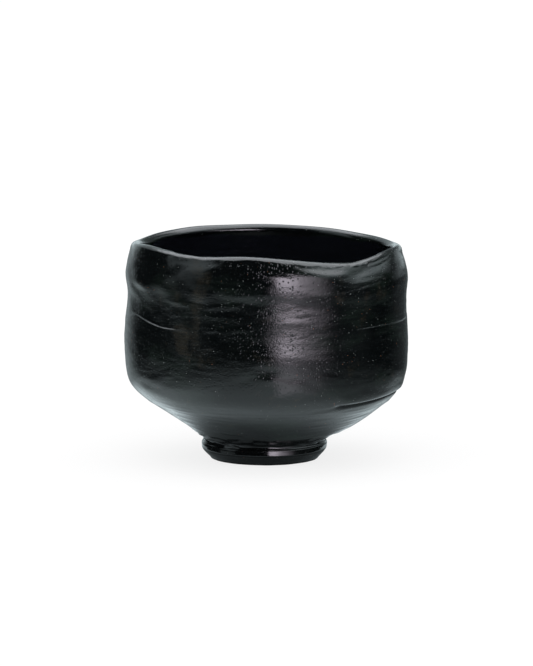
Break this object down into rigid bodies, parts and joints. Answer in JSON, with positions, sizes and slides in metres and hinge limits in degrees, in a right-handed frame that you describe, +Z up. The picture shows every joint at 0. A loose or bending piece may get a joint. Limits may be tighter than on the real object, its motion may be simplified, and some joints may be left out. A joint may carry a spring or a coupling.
{
  "type": "matcha bowl",
  "caption": "Round tea bowl with upright walls, a softly waved lip, a cone-shaped underside and a low bulging foot ring, covered in dark glossy glaze.",
  "frame": {"origin": "on the resting plane, under the middle of the bowl's box", "axes": "+Z up through the bowl's mouth; the side that dips lowest at the lip faces -Y and a little +X"},
  "size_m": [0.1178, 0.1178, 0.0919],
  "materials": {
    "clay": "matte",
    "foot_clay": "matte",
    "slip": "matte",
    "outer_glaze": "gloss",
    "inner_glaze": "gloss",
    "foot_glaze": "polished",
    "well_glaze": "gloss"
  },
  "bodies": {
    "root": {"clay_body": "clay", "foot_ring": "foot_clay", "foot_joint_slip": "slip", "outer_glaze": "outer_glaze", "inner_glaze": "inner_glaze", "foot_glaze": "foot_glaze", "foot_well_glaze": "well_glaze"}
  },
  "joints": []
}
